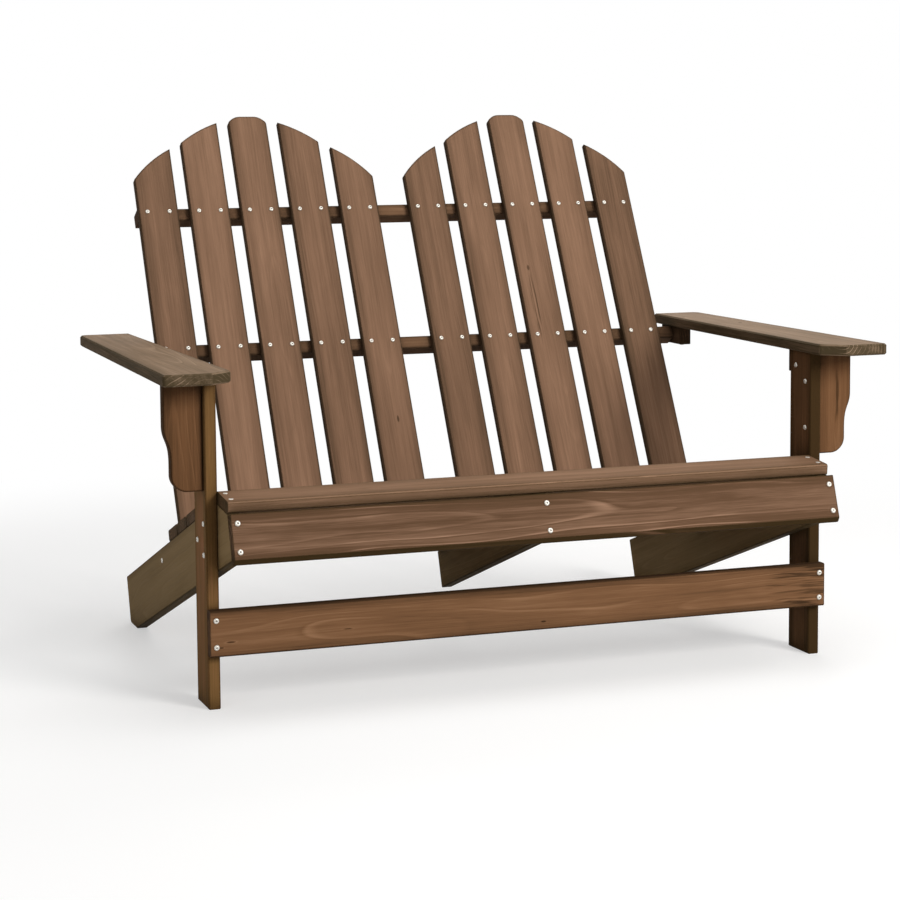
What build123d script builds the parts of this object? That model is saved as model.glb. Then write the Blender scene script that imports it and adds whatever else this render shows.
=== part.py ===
from build123d import *
from dataclasses import dataclass
import math
import os

# Adirondack loveseat of screwed softwood boards, in millimetres and degrees.
# X runs across the bench, Y from front to back and Z up. The pieces are drawn with the front
# faces of the front legs at Y = 0. At the end everything moves along Y, so that the origin
# lies on the floor under the middle of the bench's whole width and depth. The many screws are
# drawn with few flat sides each, without their threads and sockets.

# Seat frame: side view of the stringers
seat_width = 1000
seat_slope = 19.3
stringer_thickness = 19
stringer_depth = 100
knee_setback = 8
knee_height = 315.5
front_cut_fall = 5.8
foot_length = 51
heel_radius = 10
stringer_edge_bevel = 1.5
rail_shelf_lip = 14

# Seat slats and apron
seat_slat_thickness = 18
front_slat_depth = 68
seat_slat_gap = 5
first_slat_gap = 4
seat_slat_count = 5
seat_back_clearance = 31.6
seat_end_clearance = 0.5
seat_slat_edge_bevel = 2.5
apron_height = 75.5
apron_thickness = 18
apron_drop = 3
apron_upper_bevel = 1
apron_lower_bevel = 6

# Front legs and stretcher
leg_thickness = 19
leg_depth = 70
leg_edge_bevel = 1.5
stretcher_height = 71
stretcher_thickness = 18
stretcher_clearance = 84
stretcher_edge_bevel = 2

# Arms
arm_top_height = 521
arm_thickness = 18
arm_overhang = 79
arm_tail = 57.5
arm_front_width = 110
arm_rear_width = 88
arm_inner_lip = 12.5
arm_inner_taper = 13.5
arm_clip_across = 37
arm_clip_along = 30
arm_clip_radius = 9
arm_front_corner_radius = 6
arm_rear_corner_radius = 15
arm_edge_bevel = 2.5

# Corbels, front arm cleats and rear arm blocks
corbel_thickness = 18
corbel_setback = 8
corbel_width = 60
corbel_knee_clearance = 18.5
corbel_shoulder_share = 0.414
corbel_waist_share = 0.586
corbel_waist_inset = 7.5
corbel_toe_inset = 10.5
corbel_toe_radius = 25
corbel_edge_bevel = 1.5
cleat_width = 22
cleat_height = 41.5
cleat_length = 86
rear_block_width = 22
rear_block_height = 32
rear_block_length = 80
rear_block_lead = 6.5
rear_block_gap = 5
block_edge_bevel = 1.5

# Back: rails and slats
back_recline = 28.2
middle_rail_reach = 556.5
rail_arm_clearance = 0.4
rail_height = 23
rail_depth = 30
rail_edge_bevel = 1.5
upper_rail_rise = 262
lower_rail_sink = 20.5
upper_rail_end_inset = 1
back_end_inset = 29
back_slat_share = 0.7676
back_slat_thickness = 14
back_centre_gap = 60
slats_per_arch = 5
slat_top_rise = 450
slat_foot_drop = 18.5
slat_edge_bevel = 2

# Arched tops of the back slats, as drops below the highest point of each arch
crown_flat_width = 44
crown_shoulder_drop = 11.5
crown_radius = 26
crown_corner_radius = 10
second_inner_drop = 12.4
second_outer_drop = 52.4
second_bulge = 3.5
third_inner_drop = 64
third_outer_drop = 124
third_bulge = 5
slat_corner_radius = 5

# Screws
frame_head_radius = 4.3
slat_head_radius = 3.8
button_head_height = 2.2
flush_head_height = 0.6
head_taper = 40
head_sides = 8
shank_radius = 2
shank_sides = 6
bore_clearance = 0.15
bore_end_clearance = 1
apron_screw_inset = 15
apron_screw_spread = 43
stretcher_screw_spread = 41
slat_screw_spread = 39.4
seat_slat_screw_spread = 35
front_slat_screw_spread = 35
corbel_screw_shares = (0.289, 0.743)
cleat_screw_setback = 50
cleat_screw_drop = 25
cleat_arm_screw_setbacks = (64, 101)
leg_screw_front_setback = 12.5
leg_screw_rear_setback = 51
leg_screw_drops = (32, 62, 80)
rail_end_screw_setback = 5.5
rear_block_screw_spread = 52
frame_screw_bite = 26
stringer_side_bite = 15
slat_screw_bite = 22
seat_screw_bite = 14
corbel_screw_bite = 28
cleat_screw_bite = 15
arm_screw_bite = 12
rail_end_bite = 21

# Directions in the side view, as (Y, Z)
slope = math.radians(seat_slope)
down_slope = (math.cos(slope), -math.sin(slope))
off_slope = (math.sin(slope), math.cos(slope))
cut_fall = math.radians(front_cut_fall)
down_cut = (-math.cos(cut_fall), -math.sin(cut_fall))
recline = math.radians(back_recline)
up_back = (math.sin(recline), math.cos(recline))
behind_back = (math.cos(recline), -math.sin(recline))

# Places across the bench
seat_half = seat_width / 2
stringer_inner = seat_half - stringer_thickness
stringer_middle = seat_half - stringer_thickness / 2
leg_outer = seat_half + leg_thickness
leg_middle = seat_half + leg_thickness / 2
arm_underside = arm_top_height - arm_thickness
corbel_height = arm_underside - knee_height - corbel_knee_clearance
corbel_middle = corbel_setback + corbel_thickness / 2
corbel_back = corbel_setback + corbel_thickness
arm_inner_front = seat_half - arm_inner_lip
arm_inner_rear = arm_inner_front + arm_inner_taper
rear_block_inner = seat_half + rear_block_gap
rear_block_outer = rear_block_inner + rear_block_width
rear_block_middle = rear_block_inner + rear_block_width / 2
cleat_middle = leg_outer + cleat_width / 2
arm_rear = middle_rail_reach + arm_tail
arm_length = arm_overhang + arm_rear
back_half = seat_half - back_end_inset
slat_pitch = (back_half - back_centre_gap / 2) / (slats_per_arch - 1 + back_slat_share)
back_slat_width = slat_pitch * back_slat_share
arch_centre = (back_half + back_centre_gap / 2) / 2


def along(point, direction, distance):
    return (point[0] + direction[0] * distance, point[1] + direction[1] * distance)


def reach_along(point, origin, direction):
    return (point[0] - origin[0]) * direction[0] + (point[1] - origin[1]) * direction[1]


def rise_to(height, start):
    """Distance up the back from a point to a height square to the seat's slope."""
    return (height - reach_along(start, knee, off_slope)) / math.cos(recline - slope)


# Corners of the stringers in the side view
knee = (knee_setback, knee_height)
stringer_front_top = along(knee, down_cut, front_slat_depth)
stringer_front_face = stringer_depth - front_slat_depth * math.sin(slope + cut_fall)
stringer_front_bottom = along(stringer_front_top, off_slope, -stringer_front_face)
foot_toe = along(stringer_front_bottom, down_slope, stringer_front_bottom[1] / math.sin(slope))
foot_heel = (foot_toe[0] + foot_length, 0)
stringer_rear_top = along(foot_heel, off_slope, reach_along(knee, foot_heel, off_slope))

# The back's face: where the middle row of screws meets the fronts of the slats
rail_half_rise = rail_height / 2 * math.cos(recline) + rail_depth / 2 * math.sin(recline)
middle_rail_centre = (middle_rail_reach, arm_underside - rail_arm_clearance - rail_half_rise)
rail_centre_setback = back_slat_thickness + rail_depth / 2
back_start = along(middle_rail_centre, behind_back, -rail_centre_setback)
back_plane = Plane(origin=(0, *back_start), x_dir=(1, 0, 0), z_dir=(0, -behind_back[0], -behind_back[1]))
lower_rail_rise = rise_to(-lower_rail_sink, middle_rail_centre)
lower_rail_centre = along(middle_rail_centre, up_back, lower_rail_rise)
slat_rows = (upper_rail_rise, 0, lower_rail_rise)
slat_foot = lower_rail_rise - slat_foot_drop

# Seat slats fill the slope up to a clearance before the back
slope_end = reach_along(along(back_start, up_back, rise_to(0, back_start)), knee, down_slope)
slats_run = slope_end - seat_back_clearance - first_slat_gap
seat_slat_depth = (slats_run - seat_slat_gap * (seat_slat_count - 1)) / seat_slat_count

# Sloping planes that carry the seat slats and the apron
slope_plane = Plane(origin=(0, *knee), x_dir=(1, 0, 0), z_dir=(0, *off_slope))
front_cut_plane = Plane(origin=(0, *knee), x_dir=(1, 0, 0), z_dir=(0, down_cut[1], -down_cut[0]))
stringer_end_plane = Plane(
    origin=(0, *stringer_front_top), x_dir=(1, 0, 0), z_dir=(0, -down_slope[0], -down_slope[1])
)


def block_between(x_span, y_span, z_span):
    lengths = [span[1] - span[0] for span in (x_span, y_span, z_span)]
    return Pos(x_span[0], y_span[0], z_span[0]) * Box(*lengths, align=(Align.MIN, Align.MIN, Align.MIN))


def slab(x_span, y_span, z_span, edge_bevel):
    """Board between two corners, with its edges along X bevelled."""
    board = block_between(x_span, y_span, z_span)
    return chamfer(board.edges().filter_by(Axis.X), edge_bevel)


def side_board(outline, x_from, thickness, edge_bevel):
    """Board cut to an outline in the side view, with the edges of both faces bevelled."""
    board = extrude(outline, thickness)
    rims = board.faces().filter_by(Axis.Z).edges()
    board = chamfer(rims, edge_bevel)
    return Plane.YZ.location * Pos(0, 0, x_from) * board


def rectangle_outline(y_span, z_span):
    corners = [(y_span[0], z_span[0]), (y_span[1], z_span[0]), (y_span[1], z_span[1]), (y_span[0], z_span[1])]
    return make_face(Polyline(*corners, close=True))


def mirrored(piece):
    return mirror(piece, about=Plane.YZ)


# Screws
@dataclass
class ScrewKind:
    """Screw whose head meets the board at local Z = 0, with its shank below."""

    head_radius: float
    length: float
    head_height: float = button_head_height

    def solid(self):
        head = extrude(RegularPolygon(self.head_radius, head_sides), self.head_height, taper=head_taper)
        return head + extrude(RegularPolygon(shank_radius, shank_sides), -self.length)

    def bore(self):
        hole = RegularPolygon(shank_radius + bore_clearance, shank_sides)
        return extrude(hole, -self.length - bore_end_clearance)


slat_screw = ScrewKind(slat_head_radius, back_slat_thickness + slat_screw_bite)
apron_screw = ScrewKind(frame_head_radius, apron_thickness + frame_screw_bite)
stretcher_screw = ScrewKind(frame_head_radius, stretcher_thickness + frame_screw_bite)
leg_screw = ScrewKind(frame_head_radius, leg_thickness + stringer_side_bite)
seat_screw = ScrewKind(slat_head_radius, seat_slat_thickness + seat_screw_bite, flush_head_height)
rail_end_screw = ScrewKind(frame_head_radius, stringer_thickness + rail_end_bite)
shelf_screw = ScrewKind(frame_head_radius, rail_depth + rail_end_bite)
corbel_screw = ScrewKind(frame_head_radius, leg_thickness + corbel_screw_bite)
cleat_screw = ScrewKind(frame_head_radius, leg_thickness + cleat_screw_bite)
front_arm_screw = ScrewKind(frame_head_radius, cleat_height + arm_screw_bite)
rear_arm_screw = ScrewKind(frame_head_radius, rear_block_height + arm_screw_bite)
rear_block_screw = ScrewKind(frame_head_radius, rear_block_width + rail_end_bite)


def facing(x, y, z, direction):
    """Place on a face, with local Z pointing out of the wood along a main axis."""
    x_dir = (0, 1, 0) if direction[0] else (1, 0, 0)
    return Plane(origin=(x, y, z), x_dir=x_dir, z_dir=direction).location


def on_plane(plane, x, y, z=0):
    return plane.location * Pos(x, y, z)


def bored(piece, *drillings):
    """The piece with the bores of every (screw kind, places) pair cut from it."""
    cutters = [place * kind.bore() for kind, places in drillings for place in places]
    return piece - cutters


def screws(kind, places):
    return Compound([(place * kind.solid()).solid() for place in places])


def pair(centre, spread):
    return (centre - spread / 2, centre + spread / 2)


# Places of the screws
def slat_centres():
    right = [back_centre_gap / 2 + back_slat_width / 2 + slat_pitch * step for step in range(slats_per_arch)]
    return [-x for x in reversed(right)] + right


def slat_places(x_centre, row):
    """Two screws where a rail crosses a slat, and one at the slat's foot."""
    spots = [x_centre] if row < 0 else pair(x_centre, slat_screw_spread)
    return [on_plane(back_plane, x, row) for x in spots]


def row_places(row):
    return [place for x_centre in slat_centres() for place in slat_places(x_centre, row)]


def apron_places():
    upper = -apron_drop - apron_screw_inset
    heights = (upper, upper - apron_screw_spread)
    spots = [(x, y) for x in (-stringer_middle, 0, stringer_middle) for y in heights]
    return [on_plane(stringer_end_plane, x, y, apron_thickness) for x, y in spots]


def stretcher_places():
    heights = pair(stretcher_clearance + stretcher_height / 2, stretcher_screw_spread)
    spots = [(x, z) for x in (-leg_middle, leg_middle) for z in heights]
    return [facing(x, -stretcher_thickness, z, (0, -1, 0)) for x, z in spots]


def front_slat_places():
    depths = pair(-front_slat_depth / 2, front_slat_screw_spread)
    spots = [(x, y) for x in (-stringer_middle, stringer_middle) for y in depths]
    return [on_plane(front_cut_plane, x, y, seat_slat_thickness) for x, y in spots]


def seat_slat_span(index):
    start = first_slat_gap + index * (seat_slat_depth + seat_slat_gap)
    return (start, start + seat_slat_depth)


def seat_slat_places(index):
    centre = sum(seat_slat_span(index)) / 2
    spots = [(x, y) for x in (-stringer_middle, stringer_middle) for y in pair(centre, seat_slat_screw_spread)]
    return [on_plane(slope_plane, x, y, seat_slat_thickness) for x, y in spots]


def leg_places(side):
    setbacks = (leg_screw_front_setback, leg_screw_rear_setback, leg_screw_front_setback)
    spots = zip(setbacks, leg_screw_drops)
    return [facing(side * leg_outer, y, knee_height - drop, (side, 0, 0)) for y, drop in spots]


def rail_end_place(side):
    y, z = along(lower_rail_centre, behind_back, rail_end_screw_setback)
    return facing(side * seat_half, y, z, (side, 0, 0))


def shelf_place():
    return on_plane(back_plane, 0, lower_rail_rise, -back_slat_thickness - rail_depth) * Rot(180, 0, 0)


def corbel_places(side):
    heights = [arm_underside - corbel_height * share for share in corbel_screw_shares]
    return [facing(side * seat_half, corbel_middle, z, (-side, 0, 0)) for z in heights]


def cleat_place(side):
    return facing(side * seat_half, cleat_screw_setback, arm_underside - cleat_screw_drop, (-side, 0, 0))


def front_arm_places(side):
    height = arm_underside - cleat_height
    return [facing(side * cleat_middle, y, height, (0, 0, -1)) for y in cleat_arm_screw_setbacks]


def rear_arm_places(side):
    height = arm_underside - rear_block_height
    middle = middle_rail_reach - rear_block_lead
    return [facing(side * rear_block_middle, y, height, (0, 0, -1)) for y in pair(middle, rear_block_screw_spread)]


def rear_block_place(side):
    return facing(side * rear_block_outer, *middle_rail_centre, (side, 0, 0))


# Stringers
def side_stringer():
    corners = [knee, stringer_front_top, stringer_front_bottom, foot_toe, foot_heel, stringer_rear_top]
    outline = make_face(Polyline(*corners, close=True))
    heel = outline.vertices().group_by(Axis.Y)[0].sort_by(Axis.X)[-1]
    outline = fillet(heel, heel_radius)
    board = side_board(outline, stringer_inner, stringer_thickness, stringer_edge_bevel)
    seat_places = [place for index in range(seat_slat_count) for place in seat_slat_places(index)]
    return bored(
        board, (apron_screw, apron_places()), (seat_screw, front_slat_places() + seat_places),
        (leg_screw, leg_places(1)), (rail_end_screw, [rail_end_place(1)]),
    )


def centre_stringer():
    """Shorter stringer whose rear end is notched as a shelf for the lower back rail."""
    shelf_start = along(along(lower_rail_centre, up_back, -rail_height / 2), behind_back, -rail_depth / 2)
    shelf_top = along(shelf_start, up_back, rise_to(0, shelf_start))
    shelf_end = along(shelf_start, behind_back, rail_depth + rail_shelf_lip)
    end_height = reach_along(shelf_end, knee, off_slope) + stringer_depth
    rear_bottom = along(shelf_end, off_slope, -end_height)
    corners = [knee, stringer_front_top, stringer_front_bottom, rear_bottom, shelf_end, shelf_start, shelf_top]
    outline = make_face(Polyline(*corners, close=True))
    board = side_board(outline, -stringer_thickness / 2, stringer_thickness, stringer_edge_bevel)
    return bored(board, (apron_screw, apron_places()), (shelf_screw, [shelf_place()]))


# Seat boards
def front_apron():
    """Board across the front ends of the stringers, with more taken off its lower edges."""
    y_span = (-apron_drop - apron_height, -apron_drop)
    board = block_between((-seat_half, seat_half), y_span, (0, apron_thickness))
    board = chamfer(board.edges().filter_by(Axis.X).group_by(Axis.Y)[-1], apron_upper_bevel)
    board = chamfer(board.edges().filter_by(Axis.X).group_by(Axis.Y)[0], apron_lower_bevel)
    return bored(stringer_end_plane.location * board, (apron_screw, apron_places()))


def front_stretcher():
    z_span = (stretcher_clearance, stretcher_clearance + stretcher_height)
    board = slab((-leg_outer, leg_outer), (-stretcher_thickness, 0), z_span, stretcher_edge_bevel)
    return bored(board, (stretcher_screw, stretcher_places()))


def seat_board(plane, y_span, places):
    half = seat_half - seat_end_clearance
    board = slab((-half, half), y_span, (0, seat_slat_thickness), seat_slat_edge_bevel)
    return bored(plane.location * board, (seat_screw, places))


def front_leg():
    outline = rectangle_outline((0, leg_depth), (0, arm_underside))
    board = side_board(outline, seat_half, leg_thickness, leg_edge_bevel)
    return bored(
        board, (leg_screw, leg_places(1)), (stretcher_screw, stretcher_places()),
        (corbel_screw, corbel_places(1)), (cleat_screw, [cleat_place(1)]),
    )


# Arms and what carries them
def arm():
    taper_at_clip = arm_inner_taper * arm_clip_along / arm_length
    clip_front = (arm_inner_front + arm_clip_across, -arm_overhang)
    clip_rear = (arm_inner_front + taper_at_clip, arm_clip_along - arm_overhang)
    rear_inner = (arm_inner_rear, arm_rear)
    rear_outer = (arm_inner_rear + arm_rear_width, arm_rear)
    front_outer = (arm_inner_front + arm_front_width, -arm_overhang)
    outline = make_face(Polyline(clip_front, clip_rear, rear_inner, rear_outer, front_outer, close=True))
    outline = fillet(outline.vertices().sort_by(Axis.Y)[-2:].sort_by(Axis.X)[-1], arm_rear_corner_radius)
    outline = fillet(outline.vertices().sort_by(Axis.Y)[:2].sort_by(Axis.X)[-1], arm_front_corner_radius)
    outline = fillet(outline.vertices().sort_by(Axis.X)[:1], arm_clip_radius)
    outline = fillet(outline.vertices().group_by(Axis.Y)[0].sort_by(Axis.X)[0], arm_clip_radius)
    board = extrude(outline, arm_thickness)
    board = chamfer(board.faces().filter_by(Axis.Z).edges(), arm_edge_bevel)
    return bored(
        Pos(0, 0, arm_underside) * board,
        (front_arm_screw, front_arm_places(1)), (rear_arm_screw, rear_arm_places(1)),
    )


def corbel():
    """Bracket with a straight upper edge, a shallow waist and a round toe."""
    foot = -corbel_height
    shoulder = (corbel_width, foot * corbel_shoulder_share)
    waist = (corbel_width - corbel_waist_inset, foot * corbel_waist_share)
    toe = (corbel_width - corbel_toe_inset, foot + corbel_toe_radius)
    toe_end = (toe[0] - corbel_toe_radius, foot)
    outline = make_face([
        Line((0, 0), (corbel_width, 0)),
        Line((corbel_width, 0), shoulder),
        Spline(shoulder, waist, toe, tangents=[(0, -1), (0, -1)]),
        CenterArc((toe_end[0], toe[1]), corbel_toe_radius, -90, 90),
        Line(toe_end, (0, foot)),
        Line((0, foot), (0, 0)),
    ])
    board = extrude(outline, corbel_thickness)
    board = chamfer(board.faces().filter_by(Axis.Z).edges(), corbel_edge_bevel)
    place = Pos(leg_outer, corbel_back, arm_underside) * Rot(90, 0, 0)
    return bored(place * board, (corbel_screw, corbel_places(1)))


def front_arm_cleat():
    outline = rectangle_outline(
        (corbel_back, corbel_back + cleat_length), (arm_underside - cleat_height, arm_underside)
    )
    block = side_board(outline, leg_outer, cleat_width, block_edge_bevel)
    return bored(block, (cleat_screw, [cleat_place(1)]), (front_arm_screw, front_arm_places(1)))


def rear_arm_block():
    outline = rectangle_outline(
        pair(middle_rail_reach - rear_block_lead, rear_block_length),
        (arm_underside - rear_block_height, arm_underside),
    )
    block = side_board(outline, rear_block_inner, rear_block_width, block_edge_bevel)
    return bored(block, (rear_arm_screw, rear_arm_places(1)), (rear_block_screw, [rear_block_place(1)]))


# Back
def back_rail(half_length, row):
    z_span = (-back_slat_thickness - rail_depth, -back_slat_thickness)
    rail = slab((-half_length, half_length), pair(row, rail_height), z_span, rail_edge_bevel)
    return bored(back_plane.location * rail, (slat_screw, row_places(row)))


def crown_outline():
    """Middle slat of an arch: a short flat with round shoulders."""
    half = back_slat_width / 2
    flat = crown_flat_width / 2
    corners = [
        (-half, slat_foot), (half, slat_foot), (half, slat_top_rise - crown_shoulder_drop),
        (flat, slat_top_rise), (-flat, slat_top_rise), (-half, slat_top_rise - crown_shoulder_drop),
    ]
    outline = make_face(Polyline(*corners, close=True))
    outline = fillet(outline.vertices().group_by(Axis.Y)[-1], crown_radius)
    outside = outline.vertices().filter_by(lambda corner: corner.Y > 0).group_by(Axis.X)
    outline = fillet(outside[0], crown_corner_radius)
    outside = outline.vertices().filter_by(lambda corner: corner.Y > 0).group_by(Axis.X)
    return fillet(outside[-1], crown_corner_radius)


def flank_outline(inner_drop, outer_drop, bulge):
    """Slat beside the crown, drawn for the right of its arch: a slightly bowed slanting top."""
    half = back_slat_width / 2
    inner = (-half, slat_top_rise - inner_drop)
    outer = (half, slat_top_rise - outer_drop)
    lean = math.atan2(outer_drop - inner_drop, back_slat_width)
    middle = ((inner[0] + outer[0]) / 2, (inner[1] + outer[1]) / 2)
    top = along(middle, (math.sin(lean), math.cos(lean)), bulge)
    outline = make_face([
        Line((-half, slat_foot), (half, slat_foot)),
        Line((half, slat_foot), outer),
        ThreePointArc(outer, top, inner),
        Line(inner, (-half, slat_foot)),
    ])
    corner = outline.vertices().group_by(Axis.X)[-1].sort_by(Axis.Y)[-1]
    return fillet(corner, slat_corner_radius)


def back_slat(x_centre):
    steps = round((abs(x_centre) - arch_centre) / slat_pitch)
    outward = math.copysign(1, steps * x_centre)
    if steps == 0:
        outline = crown_outline()
    elif abs(steps) == 1:
        outline = flank_outline(second_inner_drop, second_outer_drop, second_bulge)
    else:
        outline = flank_outline(third_inner_drop, third_outer_drop, third_bulge)
    board = extrude(outline, -back_slat_thickness)
    board = chamfer(board.edges().filter_by(Axis.Y), slat_edge_bevel)
    if outward < 0:
        board = mirrored(board)
    places = [place for row in slat_rows for place in slat_places(x_centre, row)]
    return bored(back_plane.location * Pos(x_centre, 0, 0) * board, (slat_screw, places))


# The whole bench
def build():
    pieces = {}
    for name, make in (
        ("side_stringer", side_stringer), ("front_leg", front_leg), ("arm", arm), ("corbel", corbel),
        ("front_arm_cleat", front_arm_cleat), ("rear_arm_block", rear_arm_block),
    ):
        pieces[name + "_right"] = make()
        pieces[name + "_left"] = mirrored(pieces[name + "_right"])
    pieces["centre_stringer"] = centre_stringer()
    pieces["front_apron"] = front_apron()
    pieces["front_stretcher"] = front_stretcher()
    pieces["front_seat_slat"] = seat_board(front_cut_plane, (-front_slat_depth, 0), front_slat_places())
    for index in range(seat_slat_count):
        slat = seat_board(slope_plane, seat_slat_span(index), seat_slat_places(index))
        pieces[f"seat_slat_{index + 1}"] = slat
    for index, x_centre in enumerate(slat_centres()):
        pieces[f"back_slat_{index + 1}"] = back_slat(x_centre)
    pieces["upper_back_rail"] = back_rail(back_half - upper_rail_end_inset, upper_rail_rise)
    middle_rail = back_rail(rear_block_inner, 0)
    pieces["middle_back_rail"] = bored(
        middle_rail, (rear_block_screw, [rear_block_place(1), rear_block_place(-1)])
    )
    lower_rail = back_rail(stringer_inner, lower_rail_rise)
    pieces["lower_back_rail"] = bored(
        lower_rail, (rail_end_screw, [rail_end_place(1), rail_end_place(-1)]), (shelf_screw, [shelf_place()])
    )
    pieces["upper_rail_screws"] = screws(slat_screw, row_places(upper_rail_rise))
    pieces["middle_rail_screws"] = screws(slat_screw, row_places(0))
    pieces["lower_rail_screws"] = screws(slat_screw, row_places(lower_rail_rise))
    pieces["apron_screws"] = screws(apron_screw, apron_places())
    pieces["stretcher_screws"] = screws(stretcher_screw, stretcher_places())
    pieces["front_slat_screws"] = screws(seat_screw, front_slat_places())
    seat_places = [place for index in range(seat_slat_count) for place in seat_slat_places(index)]
    pieces["seat_slat_screws"] = screws(seat_screw, seat_places)
    pieces["leg_screws"] = screws(leg_screw, leg_places(1) + leg_places(-1))
    pieces["rail_end_screws"] = screws(rail_end_screw, [rail_end_place(1), rail_end_place(-1)])
    pieces["shelf_screw"] = screws(shelf_screw, [shelf_place()])
    pieces["corbel_screws"] = screws(corbel_screw, corbel_places(1) + corbel_places(-1))
    pieces["cleat_screws"] = screws(cleat_screw, [cleat_place(1), cleat_place(-1)])
    pieces["front_arm_screws"] = screws(front_arm_screw, front_arm_places(1) + front_arm_places(-1))
    pieces["rear_arm_screws"] = screws(rear_arm_screw, rear_arm_places(1) + rear_arm_places(-1))
    pieces["rear_block_screws"] = screws(rear_block_screw, [rear_block_place(1), rear_block_place(-1)])
    return pieces


os.makedirs("parts", exist_ok=True)
bench = build()
boxes = [piece.bounding_box() for piece in bench.values()]
middle_of_depth = (min(box.min.Y for box in boxes) + max(box.max.Y for box in boxes)) / 2
for name, piece in bench.items():
    export_step(Pos(0, -middle_of_depth, 0) * piece, f"parts/{name}.step")
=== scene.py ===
import math
import random

import bmesh
import bpy
from mathutils import Matrix, Vector


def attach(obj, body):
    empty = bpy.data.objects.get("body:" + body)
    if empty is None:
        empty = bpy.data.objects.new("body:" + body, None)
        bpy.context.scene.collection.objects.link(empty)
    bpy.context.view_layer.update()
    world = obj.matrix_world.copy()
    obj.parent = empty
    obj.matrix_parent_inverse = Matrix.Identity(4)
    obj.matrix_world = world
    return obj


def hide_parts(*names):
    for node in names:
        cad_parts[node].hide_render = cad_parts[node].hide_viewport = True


# Looks of the adirondack loveseat: stained softwood boards with grain along each board, and
# zinc screws with sockets. Lengths are in metres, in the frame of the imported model.
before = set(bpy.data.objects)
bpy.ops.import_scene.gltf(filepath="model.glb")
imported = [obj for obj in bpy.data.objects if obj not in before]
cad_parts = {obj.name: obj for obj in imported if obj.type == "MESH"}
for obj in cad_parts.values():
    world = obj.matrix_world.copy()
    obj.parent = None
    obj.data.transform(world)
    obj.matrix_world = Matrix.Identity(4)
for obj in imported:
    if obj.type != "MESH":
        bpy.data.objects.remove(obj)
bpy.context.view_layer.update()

# Directions of the boards
SLOPE = math.radians(19.3)
RECLINE = math.radians(28.2)
FRONT_FALL = math.radians(5.8)
ACROSS_BENCH = Vector((1, 0, 0))
TO_BACK = Vector((0, 1, 0))
UP = Vector((0, 0, 1))
DOWN_SLOPE = Vector((0, math.cos(SLOPE), -math.sin(SLOPE)))
OFF_SLOPE = Vector((0, math.sin(SLOPE), math.cos(SLOPE)))
FRONT_RISE = Vector((0, math.cos(FRONT_FALL), math.sin(FRONT_FALL)))
OFF_FRONT = Vector((0, -math.sin(FRONT_FALL), math.cos(FRONT_FALL)))
UP_BACK = Vector((0, math.sin(RECLINE), math.cos(RECLINE)))
BEHIND_BACK = Vector((0, math.cos(RECLINE), -math.sin(RECLINE)))

# Node name starts, each with the board's directions along, across and through it
BOARDS = (
    ("back_slat", "back", (UP_BACK, ACROSS_BENCH, BEHIND_BACK)),
    ("seat_slat", "seat", (ACROSS_BENCH, DOWN_SLOPE, OFF_SLOPE)),
    ("front_seat_slat", "seat", (ACROSS_BENCH, FRONT_RISE, OFF_FRONT)),
    ("front_apron", "apron", (ACROSS_BENCH, OFF_SLOPE, DOWN_SLOPE)),
    ("front_stretcher", "stretcher", (ACROSS_BENCH, UP, TO_BACK)),
    ("upper_back_rail", "rail", (ACROSS_BENCH, UP_BACK, BEHIND_BACK)),
    ("middle_back_rail", "rail", (ACROSS_BENCH, UP_BACK, BEHIND_BACK)),
    ("lower_back_rail", "rail", (ACROSS_BENCH, UP_BACK, BEHIND_BACK)),
    ("front_leg_left", "leg", (UP, TO_BACK, ACROSS_BENCH)),
    ("front_leg_right", "dark_leg", (UP, TO_BACK, ACROSS_BENCH)),
    ("side_stringer", "stringer", (DOWN_SLOPE, OFF_SLOPE, ACROSS_BENCH)),
    ("centre_stringer", "stringer", (DOWN_SLOPE, OFF_SLOPE, ACROSS_BENCH)),
    ("arm", "arm", (TO_BACK, ACROSS_BENCH, UP)),
    ("corbel", "corbel", (UP, ACROSS_BENCH, TO_BACK)),
    ("front_arm_cleat", "block", (TO_BACK, UP, ACROSS_BENCH)),
    ("rear_arm_block", "block", (TO_BACK, UP, ACROSS_BENCH)),
)

# Kinds of wood: dark, middle and light colour, ring spacing, strength of the ring lines, and the
# painted shading that the narrow long sides add: painted shade on most, a lift on seat and left leg
KINDS = {
    "back": ((0.066, 0.040, 0.023), (0.217, 0.124, 0.076), (0.382, 0.224, 0.142), 0.0060, 0.05, -0.46),
    "seat": ((0.066, 0.042, 0.020), (0.226, 0.131, 0.078), (0.400, 0.242, 0.154), 0.0060, 0.14, 0.26),
    "apron": ((0.046, 0.028, 0.011), (0.122, 0.066, 0.037), (0.320, 0.190, 0.122), 0.0085, 0.40, -0.42),
    "stretcher": ((0.056, 0.030, 0.015), (0.205, 0.103, 0.050), (0.360, 0.200, 0.108), 0.0065, 0.18, -0.42),
    "rail": ((0.058, 0.034, 0.019), (0.175, 0.096, 0.053), (0.300, 0.172, 0.100), 0.0050, 0.10, -0.16),
    "leg": ((0.052, 0.028, 0.011), (0.201, 0.109, 0.040), (0.440, 0.186, 0.098), 0.0055, 0.12, 0.06),
    "dark_leg": ((0.050, 0.028, 0.011), (0.190, 0.098, 0.048), (0.330, 0.168, 0.090), 0.0055, 0.14, -0.38),
    "stringer": ((0.056, 0.038, 0.018), (0.180, 0.118, 0.053), (0.315, 0.214, 0.106), 0.0065, 0.14, -0.60),
    "arm": ((0.072, 0.052, 0.028), (0.250, 0.172, 0.112), (0.430, 0.308, 0.210), 0.0065, 0.18, -0.20),
    "corbel": ((0.050, 0.026, 0.012), (0.172, 0.083, 0.038), (0.300, 0.158, 0.080), 0.0065, 0.14, -0.20),
    "block": ((0.042, 0.025, 0.014), (0.120, 0.068, 0.038), (0.220, 0.132, 0.078), 0.0050, 0.10, -0.10),
}
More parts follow.
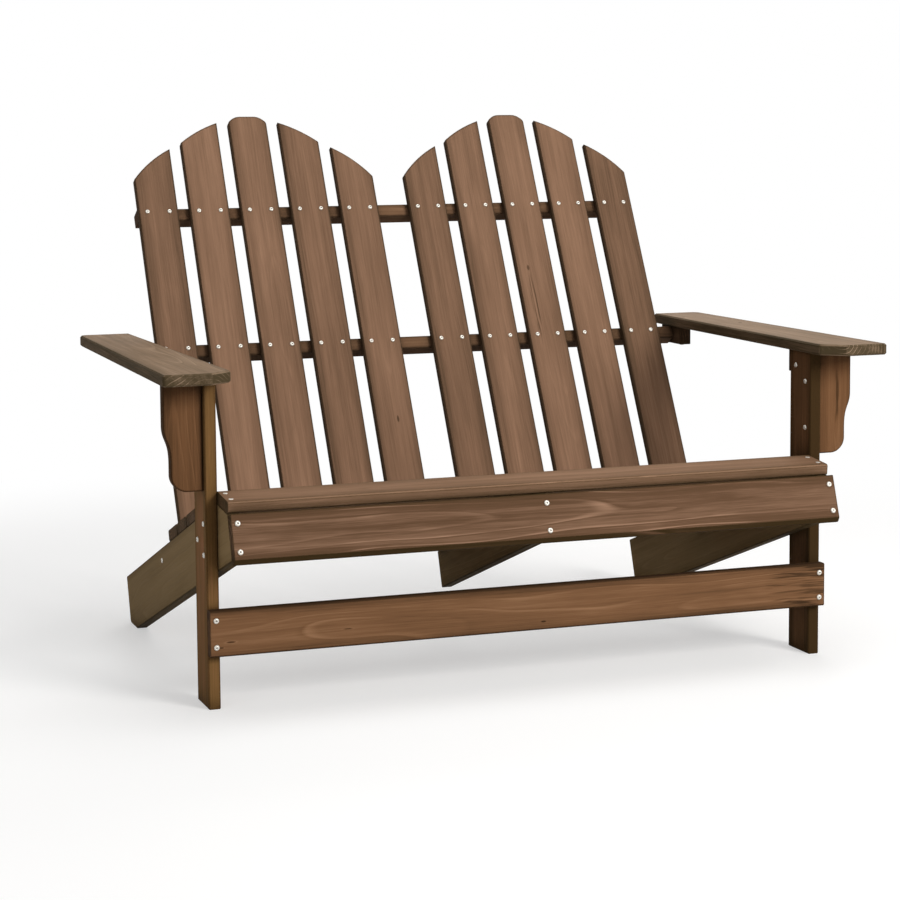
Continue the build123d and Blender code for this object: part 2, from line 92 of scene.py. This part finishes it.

# Boards lighter or darker than others of their kind: mostly stain; the stringers' lift is painted light
BOARD_STAIN_AND_LIGHT = {
    "back_slat_1": -0.10, "back_slat_2": 0.16, "back_slat_6": -0.08, "back_slat_7": 0.02,
    "back_slat_9": 0.06, "back_slat_10": -0.10, "front_leg_left": 0.12, "front_leg_right": -0.14,
    "upper_back_rail": 0.14, "middle_back_rail": 0.05, "corbel_left": -0.06, "corbel_right": 0.10,
    "side_stringer_left": 0.40, "side_stringer_right": 0.30, "centre_stringer": 0.10,
    "front_stretcher": -0.02, "front_apron": 0.09,
}

# Scales of the grain: length along the board, width across it and levels of detail
FIBRE = (0.040, 0.00075, 2.0)
STREAK = (0.20, 0.0026, 3.0)
BAND = (0.45, 0.011, 2.0)
PATCH = (0.22, 0.045, 3.0)
WANDER = (0.34, 0.060, 1.0)
FLAME = (0.055, 0.0026, 2.0)
GRAIN_SEED = 7
GRAIN_STARTS = 60

# A tone of 0 gives a kind's dark colour, 0.5 its middle one and 1 its light one
MIDDLE_TONE = 0.50
CHANCE_TONE = 0.05
FIBRE_TONE = 0.34
STREAK_TONE = 0.34
BAND_TONE = 0.40
PATCH_TONE = 0.42

# Growth rings: place and tilt of the pith, waviness, and the light and dark parts of one ring
PITH_SIDE_SHARE = 0.6
PITH_DEPTH = (0.018, 0.060)
PITH_TILT = 0.024
WANDER_DEPTH = 0.026
WANDER_SIDE = 0.010
LINE_START = 0.72
LINE_PEAK = 0.92
LINE_DARK = 0.16
LINE_DARK_TONE = -0.45
LINE_FADE = (0.42, 0.62)
LINE_FAINT = 0.25

# Knots and dark flames: place along and across a board from its middle, length and width
KNOTS = {
    "back_slat_5": [(-0.15, 0.006, 0.014, 0.005)],
    "back_slat_8": [(0.10, -0.012, 0.012, 0.005)],
    "front_stretcher": [
        (-0.487, -0.012, 0.014, 0.003), (-0.502, -0.020, 0.008, 0.0025), (-0.303, -0.009, 0.018, 0.002),
        (0.020, -0.022, 0.010, 0.004),
    ],
    "seat_slat_3": [(0.22, 0.010, 0.016, 0.007)],
    "arm_right": [(0.10, 0.014, 0.014, 0.006)],
}
FLAMES = {
    "front_stretcher": [(0.480, 0.002, 0.150, 0.120)],
    "back_slat_8": [(0.02, -0.012, 0.160, 0.014)],
    "corbel_right": [(0.01, 0.002, 0.100, 0.016)],
}
KNOT_RIM = (0.2, 1.3)
KNOT_TONE = -0.46
KNOT_PULL = 2
FLAME_RIM = (0.3, 1.0)
FLAME_STREAK = (0.36, 0.60)
FLAME_TONE = -0.38

# Edges, ends, corners darkened by stain and painted shade, and painted shade in joints
EDGE_BAND = 0.022
EDGE_TONE = -0.20
SIDE_SHADING_TURN = (0.45, 0.70)
END_TURN = (0.50, 0.75)
END_TONE = -0.40
END_LINE_TONE = 0.40
CORNER_RADIUS = 0.0030
CORNER_BEND = (0.004, 0.060)
CORNER_STAIN_AND_SHADE = -0.70
JOINT_SHADE_REACH = 0.045
JOINT_SHADE_OPEN = (0.42, 0.86)
JOINT_SHADE_TONE = -0.56
RAY_SAMPLES = 4

# Surface of the wood
SHEEN = 0.012
ROUGH_STREAK = (0.2, 0.8)
ROUGHNESS = (0.56, 0.74)
RELIEF_FIBRE = 0.8
RELIEF_LINE = 0.5
RELIEF_STREAK = 0.3
BUMP_DISTANCE = 0.0004
BUMP_STRENGTH = 0.40

# Zinc: speckle, its colours and polish, and how bright a socket is beside its head, with painted shade and
# dirt
SPECKLE_SCALE = 900.0
SPECKLE_DETAIL = 3.0
ZINC_SHADES = ((0.30, (0.60, 0.57, 0.51)), (0.50, (0.74, 0.71, 0.64)), (0.70, (0.86, 0.83, 0.76)))
ZINC_SPECKLE = (0.3, 0.7)
ZINC_ROUGHNESS = (0.30, 0.45)
ZINC_METALLIC = 0.35
SOCKET_SHADE_AND_DIRT = 0.24

# Reading a solid screw: rounds that find its axis, and how near counts as the same place or rim
AXIS_ROUNDS = 12
SAME_PLACE = 1e-6
RIM_SLACK = 1e-5

# Screws: dome and socket as shares of the head's radius and height, then the shank
HEAD_SEGMENTS = 24
HEAD_PROFILE = ((1.0, 0.0), (1.0, 0.22), (0.93, 0.52), (0.80, 0.76), (0.64, 0.91), (0.50, 0.985))
SOCKET_RADIUS = 0.34
SOCKET_TAPER = 0.9
SOCKET_RIM = 0.97
SOCKET_DEPTH = 0.40
SHANK_RADIUS = 0.0020
TIP_LENGTH = 3 * SHANK_RADIUS
TIP_RADIUS = 0.1 * SHANK_RADIUS

# Floor: half its side, the greys that throw light up at the bench, what the camera sees of it
# near the bench, and the reach over which that fades to white
FLOOR_HALF = 30.0
FLOOR_PALE = (0.58, 0.62)
FLOOR_MOTTLE = (0.35, 0.65)
MOTTLE_SCALE = 6.0
MOTTLE_DETAIL = 3.0
FLOOR_GLOW = 0.50
FLOOR_SHADE = 0.55
SHADOW_REACH = (1.1, 2.1)

# Background: soft light for the wood, plain white for the camera
WHITE = (1.0, 1.0, 1.0)
SOFT_LIGHT = (1.0, 0.99, 0.98)
SOFT_STRENGTH = 0.12

# Lamps: name, place, aim, side, power and colour
LAMPS = (
    ("key", (1.9, -3.9, 2.15), (0.0, 0.0, 0.45), 1.6, 155.0, (1.0, 0.98, 0.95)),
    ("fill", (-3.4, -2.6, 1.8), (0.0, 0.0, 0.4), 2.6, 25.0, (1.0, 0.98, 0.94)),
    ("top", (0.4, -0.4, 4.2), (0.0, 0.0, 0.3), 2.8, 75.0, (1.0, 1.0, 1.0)),
    ("rear", (1.5, 3.6, 2.4), (0.0, 0.2, 0.5), 2.4, 60.0, (1.0, 0.99, 0.97)),
)

# Camera
IMAGE_SIDE = 900
FOCAL_PIXELS = 2334.4
SENSOR = 36
CAMERA_PLACE = Vector((-1.3342, -3.7120, 0.8868))
CAMERA_YAW = math.radians(19.624)
CAMERA_PITCH = math.radians(-5.879)
CAMERA_ROLL = math.radians(-0.418)
CAMERA_SHIFT_Y = -0.1


class Nodes:
    """Builds one material's nodes. Items are numbers, tuples or output sockets."""

    def __init__(self, name):
        self.material = bpy.data.materials.new(name)
        self.material.use_nodes = True
        self.tree = self.material.node_tree
        self.tree.nodes.clear()

    def add(self, kind, items=(), **settings):
        node = self.tree.nodes.new(kind)
        for key, setting in settings.items():
            setattr(node, key, setting)
        for place, item in dict(items).items():
            self.feed(node.inputs[place], item)
        return node

    def feed(self, socket, item):
        if isinstance(item, bpy.types.NodeSocket):
            self.tree.links.new(item, socket)
        else:
            socket.default_value = item

    def math(self, operation, *items):
        return self.add("ShaderNodeMath", enumerate(items), operation=operation).outputs[0]

    def dot(self, vector, direction):
        items = {0: vector, 1: direction}
        return self.add("ShaderNodeVectorMath", items, operation="DOT_PRODUCT").outputs["Value"]

    def join(self, x, y, z):
        return self.add("ShaderNodeCombineXYZ", {0: x, 1: y, 2: z}).outputs[0]

    def noise(self, vector, detail, scale=1.0):
        items = {"Vector": vector, "Scale": scale, "Detail": detail}
        return self.add("ShaderNodeTexNoise", items).outputs[0]

    def step(self, item, start, end, low=0.0, high=1.0):
        items = {"Value": item, "From Min": start, "From Max": end, "To Min": low, "To Max": high}
        node = self.add("ShaderNodeMapRange", items, interpolation_type="SMOOTHSTEP")
        return node.outputs[0]

    def swing(self, item, size):
        """Size times how far a noise lies from its middle."""
        return self.math("MULTIPLY", self.math("SUBTRACT", item, 0.5), size)

    def total(self, *items):
        result = items[0]
        for item in items[1:]:
            result = self.math("ADD", result, item)
        return result

    def product(self, *items):
        result = items[0]
        for item in items[1:]:
            result = self.math("MULTIPLY", result, item)
        return result

    def squares(self, *items):
        """Sum of the items' squares."""
        return self.total(*(self.product(item, item) for item in items))

    def ramp(self, item, stops):
        node = self.add("ShaderNodeValToRGB", {0: item})
        elements = node.color_ramp.elements
        elements[0].position, elements[0].color = stops[0]
        elements[1].position, elements[1].color = stops[-1]
        for place, colour in stops[1:-1]:
            elements.new(place).color = colour
        return node.outputs[0]

    def finish(self, shader):
        self.add("ShaderNodeOutputMaterial", {"Surface": shader})
        return self.material


def opaque(colour):
    return (*colour, 1.0)


def spans(board, directions):
    """Lowest and highest reach of a board along each of its directions."""
    points = [vertex.co for vertex in board.data.vertices]
    reaches = [[point.dot(direction) for point in points] for direction in directions]
    return [(min(reach), max(reach)) for reach in reaches]


def wood(name, board, kind, directions, chance):
    """Stained wood of one board, with painted shade, drawn from the seeded chance."""
    dark, middle, light, spacing, line_tone, side_shading = KINDS[kind]
    along, across = directions[:2]
    board_spans = spans(board, directions)
    middles = [(low + high) / 2 for low, high in board_spans]
    half_width = (board_spans[1][1] - board_spans[1][0]) / 2
    nodes = Nodes(name)
    place = nodes.add("ShaderNodeTexCoord").outputs["Object"]
    normal = nodes.add("ShaderNodeNewGeometry").outputs["Normal"]
    u, v, w = (
        nodes.math("SUBTRACT", nodes.dot(place, direction), mid)
        for direction, mid in zip(directions, middles)
    )
    start = chance.uniform(0, GRAIN_STARTS)
    side = chance.uniform(0, GRAIN_STARTS)

    def grain(scale, sideways):
        length, width, detail = scale
        vector = nodes.join(
            nodes.math("MULTIPLY_ADD", u, 1 / length, start),
            nodes.math("MULTIPLY_ADD", sideways, 1 / width, side),
            nodes.math("MULTIPLY_ADD", w, 1 / width, start),
        )
        return nodes.noise(vector, detail)

    wander = grain(WANDER, v)
    bent = nodes.total(v, nodes.swing(wander, WANDER_SIDE))
    fibre = grain(FIBRE, bent)
    streak = grain(STREAK, bent)
    band = grain(BAND, bent)
    patch = grain(PATCH, v)

    def ellipse(row):
        """Square of how far a point lies from a spot, as a share of the spot's half size."""
        spot_u, spot_v, length, width = row
        du = nodes.math("DIVIDE", nodes.math("SUBTRACT", u, spot_u), length / 2)
        dv = nodes.math("DIVIDE", nodes.math("SUBTRACT", bent, spot_v), width / 2)
        return nodes.squares(du, dv)

    # Growth rings round a pith beside the board; its tilt makes the long pointed arches
    pith_side = chance.uniform(-PITH_SIDE_SHARE, PITH_SIDE_SHARE) * half_width
    pith_depth = chance.choice((-1, 1)) * chance.uniform(*PITH_DEPTH)
    tilt = chance.uniform(-PITH_TILT, PITH_TILT)
    depth = nodes.math("SUBTRACT", nodes.math("MULTIPLY_ADD", u, tilt, w), pith_depth)
    sideways = nodes.math("SUBTRACT", v, pith_side)
    distance = nodes.math("SQRT", nodes.squares(depth, sideways))
    radius = nodes.total(distance, nodes.swing(wander, WANDER_DEPTH))

    # Rings bend round a knot, and a flame darkens the streaks near it
    spot_tones = []
    for row in KNOTS.get(board.name, ()):
        off = ellipse(row)
        knot_width = row[-1]
        pull = nodes.math("DIVIDE", KNOT_PULL * knot_width, nodes.math("ADD", off, 1.0))
        radius = nodes.total(radius, pull)
        spot_tones.append(nodes.step(off, *KNOT_RIM, KNOT_TONE, 0.0))
    for row in FLAMES.get(board.name, ()):
        near = nodes.step(ellipse(row), *FLAME_RIM, 1.0, 0.0)
        dark_streak = nodes.step(grain(FLAME, bent), *FLAME_STREAK, FLAME_TONE, 0.0)
        spot_tones.append(nodes.product(near, dark_streak))

    # Each ring: a thin light line that ends sharply against the dark start of the next ring
    turn = nodes.math("FRACT", nodes.math("DIVIDE", radius, spacing))
    light_line = nodes.product(
        nodes.step(turn, LINE_START, LINE_PEAK), nodes.step(turn, LINE_PEAK, 1.0, 1.0, 0.0)
    )
    dark_line = nodes.step(turn, 0.0, LINE_DARK, LINE_DARK_TONE, 0.0)
    line = nodes.product(
        nodes.total(light_line, dark_line), nodes.step(patch, *LINE_FADE, LINE_FAINT, 1.0)
    )

    # Darker toward the long edges; painted shading on the narrow sides; stain in the end grain; stain
    # and painted shade on corners; painted shade in joints and under overhangs
    margin = nodes.math("SUBTRACT", half_width, nodes.math("ABSOLUTE", v))
    edge = nodes.step(margin, 0.0, EDGE_BAND, EDGE_TONE, 0.0)
    across_share = nodes.math("ABSOLUTE", nodes.dot(normal, across))
    # Painted shading of the narrow sides: darker on most kinds, standing in for the shade that falls on
    # them
    painted_side_shading = nodes.step(across_share, *SIDE_SHADING_TURN, 0.0, side_shading)
    end = nodes.step(nodes.math("ABSOLUTE", nodes.dot(normal, along)), *END_TURN)
    line_strength = nodes.math("MULTIPLY_ADD", end, END_LINE_TONE, line_tone)
    # Painted shade and stain along rounded corners, found with the bevel normal
    soft = nodes.add("ShaderNodeBevel", {"Radius": CORNER_RADIUS}, samples=RAY_SAMPLES)
    bend = nodes.math("SUBTRACT", 1.0, nodes.dot(normal, soft.outputs[0]))
    corner_stain_and_shade = nodes.step(bend, *CORNER_BEND, 0.0, CORNER_STAIN_AND_SHADE)
    # Painted shade where nearby parts block light: in joints and under the arms
    shade = nodes.add("ShaderNodeAmbientOcclusion", {"Distance": JOINT_SHADE_REACH}, samples=RAY_SAMPLES)
    painted_joint_shade = nodes.step(shade.outputs["AO"], *JOINT_SHADE_OPEN, JOINT_SHADE_TONE, 0.0)
    tone = nodes.total(
        nodes.swing(fibre, FIBRE_TONE), nodes.swing(streak, STREAK_TONE), nodes.swing(band, BAND_TONE),
        nodes.swing(patch, PATCH_TONE), nodes.product(line, line_strength), edge, *spot_tones,
        MIDDLE_TONE + BOARD_STAIN_AND_LIGHT.get(board.name, 0.0) + chance.uniform(-CHANCE_TONE, CHANCE_TONE),
        painted_side_shading, nodes.product(end, END_TONE), corner_stain_and_shade, painted_joint_shade,
    )
    colour = nodes.ramp(
        tone, ((0.0, opaque(dark)), (MIDDLE_TONE, opaque(middle)), (1.0, opaque(light)))
    )
    relief = nodes.total(
        nodes.product(fibre, RELIEF_FIBRE), nodes.product(line, RELIEF_LINE),
        nodes.product(streak, RELIEF_STREAK),
    )
    bump = nodes.add(
        "ShaderNodeBump", {"Strength": BUMP_STRENGTH, "Distance": BUMP_DISTANCE, "Height": relief}
    ).outputs[0]
    shader = nodes.add("ShaderNodeBsdfPrincipled", {
        "Base Color": colour, "Roughness": nodes.step(streak, *ROUGH_STREAK, *ROUGHNESS),
        "Normal": bump, "Specular IOR Level": SHEEN,
    })
    return nodes.finish(shader.outputs[0])


def zinc(name, tone):
    """Plated metal; a tone under 1 stands for the shade and dirt in a socket."""
    nodes = Nodes(name)
    place = nodes.add("ShaderNodeTexCoord").outputs["Object"]
    speckle = nodes.noise(place, SPECKLE_DETAIL, SPECKLE_SCALE)
    colour = nodes.ramp(
        speckle, [(stop, opaque([part * tone for part in shade])) for stop, shade in ZINC_SHADES]
    )
    shader = nodes.add("ShaderNodeBsdfPrincipled", {
        "Base Color": colour, "Metallic": ZINC_METALLIC,
        "Roughness": nodes.step(speckle, *ZINC_SPECKLE, *ZINC_ROUGHNESS),
    })
    return nodes.finish(shader.outputs[0])


def kind_of(node_name):
    """Kind and directions of a board."""
    return next(
        (kind, directions) for start, kind, directions in BOARDS if node_name.startswith(start)
    )


node_names = sorted(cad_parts)
board_nodes = [node_name for node_name in node_names if "_screw" not in node_name]
screw_nodes = [node_name for node_name in node_names if "_screw" in node_name]
chance = random.Random(GRAIN_SEED)
for node_name in board_nodes:
    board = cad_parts[node_name]
    material = wood("wood_" + node_name, board, *kind_of(node_name), chance)
    for slot in board.material_slots:
        slot.material = material


# Screws
def islands(mesh):
    """Vertex places of each separate screw in a mesh."""
    work = bmesh.new()
    work.from_mesh(mesh)
    bmesh.ops.remove_doubles(work, verts=work.verts, dist=SAME_PLACE)
    left = set(work.verts)
    groups = []
    while left:
        group = set()
        front = [left.pop()]
        while front:
            vertex = front.pop()
            group.add(vertex)
            for edge in vertex.link_edges:
                other = edge.other_vert(vertex)
                if other in left:
                    left.remove(other)
                    front.append(other)
        groups.append(sorted((vertex.co.copy() for vertex in group), key=tuple))
    work.free()
    return sorted(groups, key=lambda group: tuple(group[0]))


def screw_frame(points):
    """Foot of the head, outward direction, shank length, head radius and head height."""
    centre = sum(points, Vector()) / len(points)
    arms = [point - centre for point in points]

    # The axis is the direction in which the points spread most, found in a few rounds
    axis = max(arms, key=lambda arm: arm.length).normalized()
    for _ in range(AXIS_ROUNDS):
        axis = sum((arm * arm.dot(axis) for arm in arms), Vector()).normalized()
    reach = [arm.dot(axis) for arm in arms]
    off = [(arm - axis * r).length for arm, r in zip(arms, reach)]
    head_radius = max(off)
    seat = [r for r, o in zip(reach, off) if o > head_radius - RIM_SLACK]
    level = sum(seat) / len(seat)
    if level < (max(reach) + min(reach)) / 2:
        axis = -axis
        reach = [-r for r in reach]
        level = -level
    foot = centre + axis * level
    return foot, axis, level - min(reach), head_radius, max(reach) - level


def add_screw(work, foot, axis, length, head_radius, head_height):
    """Domed head with a six-sided socket, and a shank that ends in a point."""
    turn = axis.to_track_quat("Z", "X").to_matrix().to_4x4()
    place = Matrix.Translation(foot) @ turn

    def ring(radii, height):
        """Vertices round the axis, at the radius that each angle gives."""
        verts = []
        for index in range(HEAD_SEGMENTS):
            angle = 2 * math.pi * index / HEAD_SEGMENTS
            x = radii(angle) * math.cos(angle)
            y = radii(angle) * math.sin(angle)
            verts.append(work.verts.new(place @ Vector((x, y, height))))
        return verts

    def circle(radius):
        return lambda angle: radius

    def hexagon(radius):
        sector = math.pi / 3
        return lambda angle: radius * math.cos(sector / 2) / math.cos(angle % sector - sector / 2)

    socket = SOCKET_RADIUS * head_radius
    rings = [
        ring(circle(TIP_RADIUS), -length),
        ring(circle(SHANK_RADIUS), TIP_LENGTH - length),
        ring(circle(SHANK_RADIUS), 0),
    ]
    rings += [ring(circle(head_radius * r), head_height * z) for r, z in HEAD_PROFILE]
    rings += [
        ring(hexagon(socket), head_height * SOCKET_RIM),
        ring(hexagon(socket * SOCKET_TAPER), head_height * (1 - SOCKET_DEPTH)),
    ]
    for low, high in zip(rings, rings[1:]):
        for index in range(HEAD_SEGMENTS):
            after = (index + 1) % HEAD_SEGMENTS
            face = work.faces.new((low[index], low[after], high[after], high[index]))
            face.material_index = int(high is rings[-1])
    work.faces.new(list(reversed(rings[0])))
    work.faces.new(rings[-1]).material_index = 1


plating = zinc("zinc_plating", 1.0)
# Socket faces get a darker copy of the zinc: painted shade and dirt in the recess
socket_shade = zinc("zinc_socket_shade", SOCKET_SHADE_AND_DIRT)
for node_name in screw_nodes:
    work = bmesh.new()
    for points in islands(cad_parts[node_name].data):
        add_screw(work, *screw_frame(points))
    bmesh.ops.recalc_face_normals(work, faces=work.faces)
    for face in work.faces:
        face.smooth = True
    mesh = bpy.data.meshes.new(node_name + "_detail")
    work.to_mesh(mesh)
    work.free()
    mesh.materials.append(plating)
    mesh.materials.append(socket_shade)
    piece = bpy.data.objects.new(node_name + "_detail", mesh)
    bpy.context.scene.collection.objects.link(piece)
    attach(piece, "root")
    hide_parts(node_name)


# Floor, background, lamps and camera
def floor_material():
    """Pale floor; the camera sees it white, with the bench's soft shadow near the middle."""
    nodes = Nodes("pale_floor")
    path = nodes.add("ShaderNodeLightPath")
    place = nodes.add("ShaderNodeTexCoord").outputs["Object"]
    mottle = nodes.noise(place, MOTTLE_DETAIL, MOTTLE_SCALE)
    greys = [(stop, opaque((level,) * 3)) for stop, level in zip(FLOOR_MOTTLE, FLOOR_PALE)]
    plain = nodes.add("ShaderNodeBsdfDiffuse", {"Color": nodes.ramp(mottle, greys)})
    near_diffuse = nodes.add("ShaderNodeBsdfDiffuse", {"Color": opaque((FLOOR_SHADE,) * 3)})
    near_glow = nodes.add("ShaderNodeEmission", {"Color": opaque(WHITE), "Strength": FLOOR_GLOW})
    near = nodes.add("ShaderNodeAddShader", {0: near_diffuse.outputs[0], 1: near_glow.outputs[0]})
    white = nodes.add("ShaderNodeEmission", {"Color": opaque(WHITE), "Strength": 1.0})
    reach = nodes.add("ShaderNodeVectorMath", {0: place}, operation="LENGTH").outputs["Value"]
    far = nodes.step(reach, *SHADOW_REACH)
    seen = nodes.add("ShaderNodeMixShader", {0: far, 1: near.outputs[0], 2: white.outputs[0]})
    direct = nodes.math("MAXIMUM", path.outputs["Is Camera Ray"], path.outputs["Is Glossy Ray"])
    mixed = nodes.add("ShaderNodeMixShader", {0: direct, 1: plain.outputs[0], 2: seen.outputs[0]})
    return nodes.finish(mixed.outputs[0])


def floor():
    work = bmesh.new()
    corners = ((-1, -1), (1, -1), (1, 1), (-1, 1))
    work.faces.new([work.verts.new((x * FLOOR_HALF, y * FLOOR_HALF, 0)) for x, y in corners])
    mesh = bpy.data.meshes.new("floor")
    work.to_mesh(mesh)
    work.free()
    mesh.materials.append(floor_material())
    piece = bpy.data.objects.new("floor", mesh)
    bpy.context.scene.collection.objects.link(piece)


def background():
    world = bpy.data.worlds.new("studio")
    bpy.context.scene.world = world
    world.use_nodes = True
    tree = world.node_tree
    tree.nodes.clear()
    path = tree.nodes.new("ShaderNodeLightPath")
    soft = tree.nodes.new("ShaderNodeBackground")
    soft.inputs["Color"].default_value = opaque(SOFT_LIGHT)
    soft.inputs["Strength"].default_value = SOFT_STRENGTH
    white = tree.nodes.new("ShaderNodeBackground")
    white.inputs["Color"].default_value = opaque(WHITE)
    white.inputs["Strength"].default_value = 1.0
    direct = tree.nodes.new("ShaderNodeMath")
    direct.operation = "MAXIMUM"
    mixed = tree.nodes.new("ShaderNodeMixShader")
    out = tree.nodes.new("ShaderNodeOutputWorld")
    tree.links.new(path.outputs["Is Camera Ray"], direct.inputs[0])
    tree.links.new(path.outputs["Is Glossy Ray"], direct.inputs[1])
    tree.links.new(direct.outputs[0], mixed.inputs[0])
    tree.links.new(soft.outputs[0], mixed.inputs[1])
    tree.links.new(white.outputs[0], mixed.inputs[2])
    tree.links.new(mixed.outputs[0], out.inputs["Surface"])


def lamp(name, place, aim, side, power, colour):
    """Square area lamp that faces its aim."""
    data = bpy.data.lights.new(name, "AREA")
    data.shape = "SQUARE"
    data.size = side
    data.energy = power
    data.color = colour
    light = bpy.data.objects.new(name, data)
    light.location = place
    light.rotation_mode = "QUATERNION"
    light.rotation_quaternion = (Vector(aim) - Vector(place)).to_track_quat("-Z", "Y")
    bpy.context.scene.collection.objects.link(light)


def camera():
    data = bpy.data.cameras.new("camera")
    data.sensor_width = SENSOR
    data.lens = FOCAL_PIXELS / IMAGE_SIDE * SENSOR
    data.shift_y = CAMERA_SHIFT_Y
    forward = Vector((
        math.sin(CAMERA_YAW) * math.cos(CAMERA_PITCH),
        math.cos(CAMERA_YAW) * math.cos(CAMERA_PITCH),
        math.sin(CAMERA_PITCH),
    ))
    level = Vector((math.cos(CAMERA_YAW), -math.sin(CAMERA_YAW), 0))
    upright = level.cross(forward)
    right = level * math.cos(CAMERA_ROLL) + upright * math.sin(CAMERA_ROLL)
    up = upright * math.cos(CAMERA_ROLL) - level * math.sin(CAMERA_ROLL)
    turn = Matrix((right, up, -forward)).transposed()
    view = bpy.data.objects.new("camera", data)
    view.matrix_world = Matrix.Translation(CAMERA_PLACE) @ turn.to_4x4()
    bpy.context.scene.collection.objects.link(view)
    bpy.context.scene.camera = view


floor()
background()
for row in LAMPS:
    lamp(*row)
camera()
bpy.context.scene.view_settings.view_transform = "Standard"
